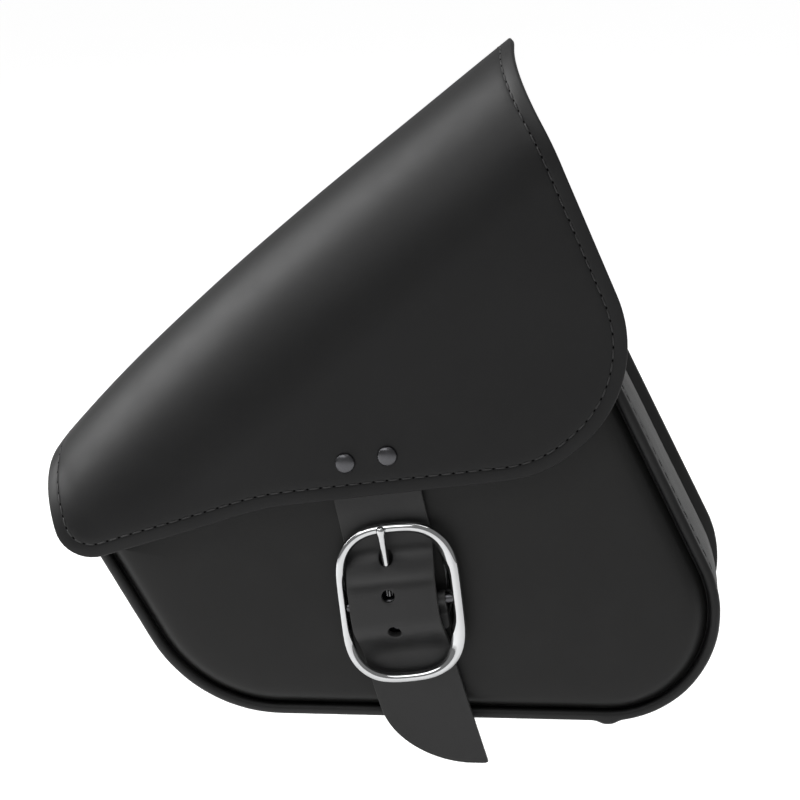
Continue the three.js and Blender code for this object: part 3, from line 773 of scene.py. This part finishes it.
def gusset():
    """The band round the sewn sides, nearly flush with the piping and tucked in at its seams."""
    path = sewn_sides(GUSSET["inset"])
    along = tangents(path)
    inward = square_to(along)
    depths = np.concatenate([
        np.linspace(GUSSET["back"], 12, 8),
        np.linspace(15, 91, 27),
        np.linspace(93, GUSSET["front"], 17),
    ])
    face, seam = gusset_inset(depths)
    outer = face - GUSSET["inset"] + seam
    inner = np.maximum(face - GUSSET["inset"] + GUSSET["wall"], outer + 1.6)
    sections = []
    for point, inwards in zip(path, inward):
        waves = uneven([(*point, depth) for depth in depths], 45.0, 0.35)
        outside = point + np.outer(outer + waves, inwards)
        lined = point + np.outer(inner, inwards)
        flat = np.vstack([outside, lined[::-1]])
        sections.append(upright(flat, np.concatenate([depths, depths[::-1]])))
    piece = loft("gusset_leather", sections, GUSSET_LEATHER)
    return stands_for(piece, "bag", "gusset")


def gusset_stitches():
    """One sewn line beside the piping and one beside the back panel."""
    for name, depth in (("piping_stitches", GUSSET_SEAM), ("back_seam_stitches", BACK_SEAM)):
        face, seam = gusset_inset(np.array([depth]))
        path = sewn_sides(face[0] + seam[0] - 0.15)
        along = tangents(path)
        outward = np.column_stack([along[:, 1], np.zeros(len(path)), -along[:, 0]])
        sewn(name, upright(path, depth), outward, STITCH["seam"], "bag")


def back_flange_stitches():
    """The same seam as it shows on the back face."""
    path = sewn_sides(FLANGE_SEAM)
    outward = np.tile((0.0, 1.0, 0.0), (len(path), 1))
    sewn("flange_stitches", upright(path, 0.3), outward, STITCH["seam"], "bag")


def panel_ring(inset):
    return bag_outline(inset, max(inset - 3.0, GUSSET["mouth"]))


def panel_crown(points):
    """How far the panel's face stands proud of its rim: all of the way at its middle."""
    centre = np.array(PANEL["centre"])
    ring = resample(panel_ring(PANEL["rim"]), 2.0, closed=True) - centre
    angles = np.arctan2(ring[:, 1], ring[:, 0])
    order = np.argsort(angles)
    reach = np.linalg.norm(ring, axis=1)[order]
    away = points - centre
    limit = np.interp(np.arctan2(away[:, 1], away[:, 0]), angles[order], reach, period=2 * math.pi)
    share = np.clip(np.linalg.norm(away, axis=1) / limit, 0, 1)
    return (PANEL["crown"] - PANEL["rim_depth"]) * (1 - share**2)


def front_panel():
    """A moulded panel: a sewn rim, a rounded step and a face that crowns outwards."""
    face = [(28, 116.4), (21, 116.1), (15, 115.4), (11.6, 114.1), (9.4, 111.9), (8, 109.6), (6.9, 107.6)]
    rim = [(6.3, 106.5), (6.1, 106.1), (6.1, 105.85), (6.4, 105.7)]
    back = [(11.4, 105.7), (12, 108), (12.8, 110.4), (15.8, 112.4), (20, 113.1), (28, 113.4)]
    profile = [*smooth_curve(face, 4), *rim, *smooth_curve(back, 3)]

    def place(points, depth):
        flat = upright(points, depth)
        lift = panel_crown(points)
        edge = np.clip((np.abs(depth) - 112) / 3, 0, 1)
        lift = lift + edge * uneven(upright(points, 0), 60.0, 0.5)
        flat[:, 1] -= lift
        return flat

    piece = sheet("front_panel_leather", panel_ring, place, profile, PANEL_LEATHER, spacing=4.0)
    return stands_for(piece, "bag", "front_panel")


def front_piping():
    """A covered cord round the sewn sides, with its ends overlapped in a lump at the bottom."""
    path = smooth_curve(sewn_sides(PIPING["radius"]), 2)
    along = tangents(path)
    outward = -square_to(along)
    low = path[:, 1] < path[:, 1].min() + 4
    away = np.where(low, (path[:, 0] - PIPING["joint_x"]) / (PIPING["joint_length"] / 2), 9)
    lump = PIPING["joint_rise"] * np.exp(-(np.abs(away) ** 3))
    around = round_angles(20)
    sections = []
    for point, out, extra in zip(path, outward, lump):
        radius = PIPING["radius"] * (1 + 0.03 * noise.noise(Vector((*point, 0)) / 9))
        width = np.cos(around) * radius
        width = np.where(width > 0, width * (1 + extra / radius), width)
        flat = point + width[:, None] * out
        depth = PIPING["depth"] + np.sin(around) * radius
        sections.append(np.column_stack([flat[:, 0], -depth, flat[:, 1]]))
    piece = loft("front_piping_leather", sections, PIPING_LEATHER)
    return stands_for(piece, "bag", "front_piping")


def welt_flange():
    """The piping's own sewing edge, which closes the seam between gusset and front panel."""
    sections = []
    outer, inner = sewn_sides(WELT["outer"]), sewn_sides(WELT["inner"])
    count = min(len(outer), len(inner))
    outer, inner = resample_to(outer, count), resample_to(inner, count)
    for out, inward in zip(outer, inner):
        back, front = WELT["back"], WELT["front"]
        corners = [(out, back), (inward, back), (inward, front), (out, front)]
        sections.append([(flat[0], -depth, flat[1]) for flat, depth in corners])
    piece = loft("welt_flange", sections, PIPING_LEATHER)
    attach(piece, "bag")


def resample_to(path, count):
    length = np.linalg.norm(np.diff(path, axis=0), axis=1).sum()
    return resample(path, length / (count - 1))[:count]


# ---- the flap ----

FLAP_CORNERS = ((-5.0, FLAP["hinge"], 2.0), (266.0, FLAP["hinge"], 2.0), (300.0, 92.0, 44.0),
                (286.0, 172.0, 150.0), (247.5, 286.0, 62.0), (180.0, 286.0, 60.0),
                (70.0, 210.0, 120.0), (-24.0, 168.5, 22.0), (0.5, 88.0, 30.0))


def flap_ring(inset):
    """The flap's cut outline moved in. The hinge side, which nothing edges, hardly moves."""
    insets = [0.1 * inset] + [inset] * (len(FLAP_CORNERS) - 1)
    return rounded_outline(FLAP_CORNERS, insets, 3.0)


def lining_ring(inset):
    insets = [FLAP["lining_start"] + 2.0 + inset] + [1.5 + inset] * (len(FLAP_CORNERS) - 1)
    return rounded_outline(FLAP_CORNERS, insets, 4.0)


def flap_place(points, depth):
    """Carries the flat flap over the roll, depth below its outer face."""
    s, a = points[:, 0], points[:, 1]
    quarter = math.pi / 2
    behind = a < CREST_A
    along = np.clip(s / SLOPE["length"], 0, 1)
    side = np.where(behind, ROLL["back"], ROLL["front"])
    rise = side + ROLL["bow"] * np.sin(math.pi * along ** ROLL["skew"])
    over = np.minimum(quarter * (1 + (a - CREST_A) / (FRONT_A - CREST_A)), 2 * quarter)
    angle = np.where(behind, quarter * a / CREST_A, over)
    n = rise * np.sin(angle) - side - np.maximum(a - FRONT_A, 0)
    y = -ROLL["half_depth"] * (1 - np.cos(angle))
    normal_y = rise * np.cos(angle)
    normal_n = ROLL["half_depth"] * np.sin(angle)
    size = np.hypot(normal_y, normal_n)
    endways = np.maximum((LOW_END["length"] - s) / LOW_END["reach"], 0)
    bend = LOW_END["bend"] * endways**2 * np.maximum(angle / quarter - 1, 0)
    flat = slope_point(s, n - depth * normal_n / size)
    return np.column_stack([flat[:, 0], y - depth * normal_y / size + bend, flat[:, 1]])


def flap_surface(points, depth):
    """The flap with the slow waves of a hide that has been rolled by hand."""
    calm = np.clip((points[:, 1] - 10) / 40, 0, 1)
    waves = uneven(np.column_stack([points, np.zeros(len(points))]), 55.0, 0.4) * calm
    return flap_place(points, depth + waves)


def flap_bend(piece):
    """Bakes the flap's placement into its mesh. The lean worked out here is not applied."""
    lean = np.array([SLOPE_UP[0], -1.2, SLOPE_UP[1]])
    lean = lean / np.linalg.norm(lean)
    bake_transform(piece)


def flap():
    edge = rounded_edge(FLAP["wall"], 0.8)
    profile = groove(FLAP["margin"], 0.32, 1.3) + edge[1:]
    profile += [(FLAP["margin"] + 1.3, FLAP["wall"])]
    piece = sheet("flap_leather_piece", flap_ring, flap_surface, profile, FLAP_LEATHER, spacing=3.0)
    stands_for(piece, None, "flap")
    flap_bend(piece)


def flap_lining():
    depth = FLAP["wall"] + 0.3
    edge = [(2.0, depth), (0.4, depth), (0.0, depth + 0.3), (0.0, depth + 0.5),
            (0.4, depth + FLAP["lining"]), (2.0, depth + FLAP["lining"])]
    piece = sheet("flap_lining_fabric", lining_ring, flap_surface, edge, LINING_FABRIC, spacing=4.0)
    stands_for(piece, "flap", "flap_lining")


def flap_stitches():
    """One row round the free sides, which stops 8 mm short of the hinge."""
    outline = resample(flap_ring(FLAP["margin"]), 1.5, closed=True)
    free = outline[:, 1] > 8
    start = int(np.argmax(free & ~np.roll(free, 1)))
    line = np.roll(outline, -start, axis=0)[: int(free.sum())]
    path, outward = run_of(line, flap_surface, 0.3)
    sewn("flap_stitches", path, outward, STITCH["flap"], "flap", 0.8)


# ---- the strap and its closure ----


def strap_middle(z):
    z = np.asarray(z, float)
    below = np.where(z < 0, 0.2 * (np.hypot(z, 18) - 18), 0)
    above = np.where(z > 30, 0.1 * (z - 30), 0)
    return STRAP_OFFSET + below - above


def strap_face(z):
    """The depth of the strap's outer face: it dips behind the buckle's ends and rises over its
    centre bar."""
    slope = np.clip((np.abs(z) - 7) / 22, 0, 1)
    rise = STRAP_FACE["rise"] * (1 - slope**3 * (10 - 15 * slope + 6 * slope**2))
    root = np.clip((z - 36) / 10, 0, 1)
    return STRAP_FACE["dip"] + rise + (STRAP_FACE["root"] - STRAP_FACE["dip"]) * root


def strap_outline():
    """Across the strap and along it: square at its root, swept to a point at its tail."""
    half = STRAP["width"] / 2
    reach = np.linspace(0, 1, 26) ** 0.7
    left = np.maximum(STRAP["width"] * np.sqrt(1 - reach**2), TAIL["point"])
    z = TAIL["start"] - reach * (TAIL["start"] - TAIL["end"])
    curve = np.column_stack([half - left, z])
    outline = np.vstack([[(half, STRAP["top"]), (-half, STRAP["top"])], curve, [(half, TAIL["end"])]])
    return resample(outline, 1.6, closed=True)


STRAP_LINE = strap_outline()


def strap_ring(inset):
    """The strap's outline moved in by following its own sides, which is true for small insets."""
    along = tangents(STRAP_LINE, closed=True)
    inward = square_to(along)
    return STRAP_LINE + inward * inset


def strap_place(points, depth):
    x, z = points[:, 0], points[:, 1]
    slope = strap_face(z + 0.5) - strap_face(z - 0.5)
    square = np.hypot(1, slope)
    waves = 0.1 + uneven(np.column_stack([points, np.zeros(len(points))]), 30.0, 0.16)
    cupped = 0.5 * (x / (STRAP["width"] / 2)) ** 2 * np.clip((30 - np.abs(z)) / 20, 0, 1)
    below = depth + waves + cupped
    return closure_place(strap_middle(z) + x, strap_face(z) - below / square, z + below * slope / square)


def strap():
    holes = [(HOLE_OFFSET, z, 3.1, 3.1) for z in HOLE_PLACES[1:]]
    holes.insert(0, (HOLE_OFFSET, HOLE_PLACES[0] + 0.2, 3.2, 3.7))
    edge = rounded_edge(STRAP["wall"], 0.35)
    piece = sheet("strap_leather_piece", strap_ring, strap_place, edge, STRAP_LEATHER, holes, 2.4)
    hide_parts("strap", "strap_root")
    start, end = (closure_place(0, STRAP_FACE["root"] - STRAP["wall"] / 2, STRAP["bend"] + step)
                  for step in (2.2, -2.2))
    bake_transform(piece)


def buckle_frame():
    """A polished oval bar bent into a rounded rectangle. The inner wall of its right side slopes
    in towards the back."""
    half_width = (BUCKLE["width"] - BUCKLE["bar"]) / 2
    half_height = (BUCKLE["height"] - BUCKLE["bar"]) / 2
    corner = BUCKLE["corner"] - BUCKLE["bar"] / 2
    corners = [(side * half_width, end * half_height, corner)
               for side, end in ((-1, -1), (1, -1), (1, 1), (-1, 1))]
    path = resample(rounded_outline(corners, [0] * 4, 1.0), 1.0, closed=True)
    for _ in range(60):
        path = (np.roll(path, 1, axis=0) + 2 * path + np.roll(path, -1, axis=0)) / 4
    size = np.array([half_width, half_height]) / path.max(axis=0)
    path = path * size
    along = tangents(path, closed=True)
    outward = -square_to(along)
    around = round_angles(28)
    sections = []
    for point, out in zip(path, outward):
        broad = BUCKLE["broad"] * np.clip(point[0] / half_width, 0, 1) ** 3
        inner_back = np.maximum(-np.cos(around), 0) * (1 - np.sin(around))
        side = np.cos(around) * BUCKLE["bar"] / 2
        side = side - broad * inner_back
        deep = np.sin(around) * BUCKLE["deep"] / 2
        flat = point + side[:, None] * out
        sections.append(closure_place(flat[:, 0], BUCKLE_DEPTH + deep, flat[:, 1]))
    ring = loft("buckle_ring", sections, CHROME, closed=True)
    stands_for(ring, "buckle", "buckle_frame")
    x = np.linspace(-half_width, half_width, 24)
    # Painted shade: the centre bar takes the dark metal finish rather than the frame's chrome, so that it
    # reads as a bar in the strap's shadow.
    bar = tube("buckle_centre_bar", closure_place(x, BUCKLE_DEPTH, 0), BUCKLE["pin"], GUNMETAL_AND_PAINTED_SHADE)
    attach(bar, "buckle")


def tube(name, path, radii, material, sides=24):
    """A round bar along a path, with rounded ends where its radii close in."""
    path = np.asarray(path, float)
    radii = np.broadcast_to(np.asarray(radii, float), len(path))
    along = tangents(path)
    side = unit(np.cross(along, (0.0, 0.0, 1.0) if abs(along[0][2]) < 0.5 else (1.0, 0.0, 0.0)))
    other = np.cross(along, side)
    around = round_angles(sides)
    sections = [
        centre + radius * (np.outer(np.cos(around), a) + np.outer(np.sin(around), b))
        for centre, radius, a, b in zip(path, radii, side, other)
    ]
    return loft(name, sections, material)


def buckle_prong():
    """A round tongue with a bulb at its tip, and the eye that turns on the centre bar."""
    line = resample(smooth_curve(PRONG_PATH, 12), 0.35)
    travelled = np.linspace(0, 1, len(line))
    length = np.linalg.norm(np.diff(line, axis=0), axis=1).sum()
    left = (1 - travelled) * length
    bulb = 0.45 * np.exp(-(((left - 2.2) / 1.9) ** 2))
    tip = np.sqrt(np.clip(1 - ((1.9 - np.minimum(left, 1.9)) / 1.95) ** 2, 0.003, 1))
    middle = float(strap_middle(HOLE_PLACES[0])) + HOLE_OFFSET
    path = closure_place(middle, line[:, 0], line[:, 1])
    tongue = tube("buckle_tongue", path, (1.75 + bulb) * tip, CHROME)
    stands_for(tongue, "prong", "buckle_prong")
    inner, outer, half = EYE["inner"], EYE["outer"], EYE["half_width"]
    sections = []
    corners = [(inner, -half), (outer, -half), (outer, half), (inner, half), (inner, -half)]
    profile = soften(corners, 0.6)[:-1]
    for angle in round_angles(48):
        radius = np.array([point[0] for point in profile])
        x = np.array([point[1] for point in profile]) + middle
        sections.append(closure_place(x, BUCKLE_DEPTH + radius * math.cos(angle), radius * math.sin(angle)))
    # Painted shade: the eye takes the dark metal finish rather than the tongue's chrome, so that it reads
    # dark through the strap's hole, as if in shade.
    eye = loft("prong_eye", sections, GUNMETAL_AND_PAINTED_SHADE, closed=True)
    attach(eye, "prong")


def chape():
    """A short strap folded round the centre bar, with a slot for the prong."""
    wrap = BUCKLE["pin"] + 0.3 + CHAPE["wall"] / 2
    turn = np.radians(np.linspace(-20, 180, 19))
    bend = np.column_stack([BUCKLE_DEPTH + wrap * np.cos(turn), wrap * np.sin(turn)])
    line = np.vstack([[(CHAPE["front"], CHAPE["end"]), (CHAPE["front"], -7.5)], bend,
                      [(CHAPE["back"], -6.0), (CHAPE["back"], CHAPE["end"])]])
    line = resample(line, 0.8)
    along = tangents(line)
    outward = -square_to(along)
    travelled = np.linspace(0, 0.8 * (len(line) - 1), len(line))
    half = CHAPE["width"] / 2
    corners = [(-half, 0.0, 2.0), (half, 0.0, 2.0), (half, travelled[-1], 2.0), (-half, travelled[-1], 2.0)]

    def place(points, depth):
        centre = np.stack([np.interp(points[:, 1], travelled, axis) for axis in line.T], axis=1)
        out = np.stack([np.interp(points[:, 1], travelled, axis) for axis in outward.T], axis=1)
        at = centre + out * (CHAPE["wall"] / 2 - depth)
        return closure_place(points[:, 0], at[:, 0], at[:, 1])

    crown = travelled[np.argmax(line[:, 1])]
    holes = [(float(strap_middle(HOLE_PLACES[0])) + HOLE_OFFSET, crown, 4.0, 7.2)]
    piece = sheet("chape_leather", lambda inset: rounded_outline(corners, [inset] * 4, 1.5), place,
                  rounded_edge(CHAPE["wall"], 0.3), STRAP_LEATHER, holes, 1.6)
    stands_for(piece, "strap", "chape")


# ---- turned fittings ----


def fitting(name, node, body, material, shape):
    """A turned fitting in a CAD node's own box. shape(radius, front, back) gives its profile."""
    low, high = node_box(node)
    middle = (low + high) / 2
    radius = (high[0] - low[0]) / 2
    piece = turned(name, shape(radius, -low[1], -high[1]), middle[0], middle[2], material)
    stands_for(piece, body, node)


def eyelet_shape(radius, front, back):
    hole, barrel, thick = 4.2, 5.0, 0.9
    return [(hole, front), (radius, front - 0.25), (radius, front - thick), (barrel, front - thick),
            (barrel, back + thick), (radius, back + thick), (radius, back + 0.25), (hole, back),
            (hole, front)]


def rivet_shape(radius, front, back):
    """A low dome with a rolled rim."""
    dome = [(radius * out, front - RIVET["height"] * (1 - math.sqrt(1 - out * out)))
            for out in np.linspace(0, 0.98, 14)]
    face = front - RIVET["height"] - RIVET["edge"]
    shank = RIVET["shank"]
    return [*dome, (radius, face + 0.35), (radius - 0.1, face), (shank, face), (shank, back), (0, back)]


def burr_shape(radius, front, back):
    return [(0, front), (radius, front), (radius, back), (0, back)]


def cap_shape(radius, front, back):
    return [(0, front), (0.69 * radius, front - 0.1), (0.94 * radius, front - 0.4), (radius, back),
            (0, back)]


def socket_shape(radius, front, back):
    inner = radius - 1.8
    return [(0, front), (radius, front), (radius, back + 0.3), (radius - 0.6, back), (inner, back),
            (inner, front - 0.5), (0, front - 0.5)]


def stud_shape(radius, front, back):
    return [(0, front), (2.2, front), (2.9, front - 0.5), (2.7, front - 1.4), (radius, front - 1.4),
            (radius, back), (0, back)]


def post_shape(radius, front, back):
    return [(0, front), (1.6, front), (1.6, back + 0.8), (radius, back + 0.8), (radius, back), (0, back)]


def fittings():
    for node in EYELETS:
        fitting(node + "_brass", node, "bag", NICKEL, eyelet_shape)
    for side in ("left", "right"):
        fitting(f"rivet_cap_{side}", f"flap_rivet_{side}", "flap", GUNMETAL_AND_PAINTED_SHADE, rivet_shape)
        fitting(f"rivet_washer_{side}", f"rivet_burr_{side}", "flap", NICKEL, burr_shape)
    # Painted shade: the snap cap takes the dark metal finish, so that it reads dark through the strap's
    # hole, as if in shade.
    fitting("snap_cap_turned", "snap_cap", "strap", GUNMETAL_AND_PAINTED_SHADE, cap_shape)
    fitting("snap_socket_turned", "snap_socket", "strap", NICKEL, socket_shape)
    fitting("snap_stud_turned", "snap_stud", "bag", NICKEL, stud_shape)
    fitting("snap_post_turned", "snap_post", "bag", NICKEL, post_shape)


# ---- the studio ----

FLOOR = {"drop": 80, "reach": 14000, "sides": 96}
# name, place, what it aims at, size, all in metres, and power in watts
LIGHTS = (
    ("top_box", (0.1, 0.2, 1.5), (0, -0.06, 0.05), (1.4, 0.8), 12),
    ("left_box", (-1.35, 0.22, 0.95), (0, -0.06, 0.03), (0.9, 1.1), 24),
    ("front_box", (-0.6, -1.05, 1.2), (0, -0.1, 0), (1.2, 0.7), 10),
    ("right_box", (1.1, 1.4, 0.3), (0, -0.06, -0.05), (1.7, 1.4), 2.6),
)
VIEW = {"azimuth": 5.0, "elevation": 12.0, "distance": 1.5, "target": (0.0, -0.065, 0.0), "lens": 138.4}


def camera():
    azimuth, elevation = math.radians(VIEW["azimuth"]), math.radians(VIEW["elevation"])
    target = Vector(VIEW["target"])
    away = Vector((math.sin(azimuth) * math.cos(elevation), -math.cos(azimuth) * math.cos(elevation),
                   math.sin(elevation)))
    data = bpy.data.cameras.new("camera")
    data.lens = VIEW["lens"]
    data.sensor_width = 36
    piece = bpy.data.objects.new("camera", data)
    piece.location = target + VIEW["distance"] * away
    piece.rotation_euler = (-away).to_track_quat("-Z", "Y").to_euler()
    bpy.context.scene.collection.objects.link(piece)
    bpy.context.scene.camera = piece


def soft_light(name, place, aim, size, power):
    data = bpy.data.lights.new(name, "AREA")
    data.shape = "RECTANGLE"
    data.size, data.size_y = size
    data.energy = power
    light = bpy.data.objects.new(name, data)
    light.location = place
    light.rotation_euler = (Vector(aim) - Vector(place)).to_track_quat("-Z", "Y").to_euler()
    bpy.context.scene.collection.objects.link(light)


def studio():
    nodes = Nodes("pale_floor")
    tone = nodes.blend(nodes.noise(3), (0.93, 0.93, 0.93), (0.95, 0.95, 0.95))
    glow = nodes.spread(nodes.length(nodes.place), 0.3, 0.7, 0.45, 2.5)
    nodes.set(Base_Color=tone, Roughness=0.9, Specular_IOR_Level=0.1, Emission_Strength=glow)
    nodes.shader.inputs["Emission Color"].default_value = (1, 1, 1, 1)
    low = cad_bounds[0][2] / MM - FLOOR["drop"]
    ring = [(FLOOR["reach"] * math.cos(angle), FLOOR["reach"] * math.sin(angle), low)
            for angle in round_angles(FLOOR["sides"])]
    floor = mesh_piece("floor", ring, [tuple(range(FLOOR["sides"]))], nodes.material)
    world = bpy.data.worlds.new("studio")
    world.use_nodes = True
    world.node_tree.nodes["Background"].inputs["Color"].default_value = (1, 1, 1, 1)
    world.node_tree.nodes["Background"].inputs["Strength"].default_value = 0.3
    bpy.context.scene.world = world
    for light in LIGHTS:
        soft_light(*light)
    bpy.context.scene.view_settings.view_transform = "Standard"


frame["nodes"]["back_stiffener"].data.materials.clear()
frame["nodes"]["back_stiffener"].data.materials.append(STIFFENER)

camera()
back_panel()
gusset()
gusset_stitches()
back_flange_stitches()
front_panel()
front_piping()
welt_flange()
flap()
flap_lining()
flap_stitches()
strap()
chape()
buckle_frame()
buckle_prong()
fittings()
studio()
